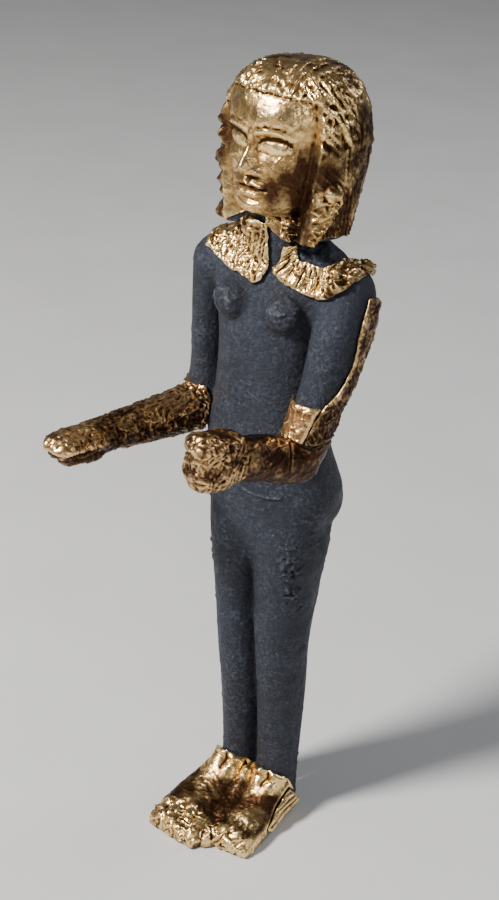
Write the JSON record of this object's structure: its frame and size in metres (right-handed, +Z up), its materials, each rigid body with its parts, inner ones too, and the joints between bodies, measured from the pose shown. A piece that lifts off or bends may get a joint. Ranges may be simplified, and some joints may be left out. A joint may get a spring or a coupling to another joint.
{
  "type": "deity figurine",
  "caption": "Slim standing deity figurine of dark cast metal, with gold foil pressed over head, collar, arms and feet; one open hand and one fist reach forward.",
  "frame": {"origin": "point of the flat sole under the body's axis, between the two feet", "axes": "+Z up along the standing figure, -Y the way it faces, +X its left side"},
  "size_m": [0.0508, 0.0623, 0.1802],
  "materials": {
    "bronze": "dark matte bronze patina with grey dust",
    "gold_foil": "crumpled worn gold foil",
    "reddened_gold_foil": "crumpled gold foil, reddened and dirty"
  },
  "bodies": {
    "root": {"figure": "bronze", "head_foil": "gold_foil", "right_collar_foil": "gold_foil", "left_collar_foil": "gold_foil", "right_arm_foil": "reddened_gold_foil", "left_arm_foil": "reddened_gold_foil", "left_upper_arm_foil": "reddened_gold_foil", "feet_foil": "gold_foil", "left_heel_foil": "gold_foil"}
  },
  "joints": []
}
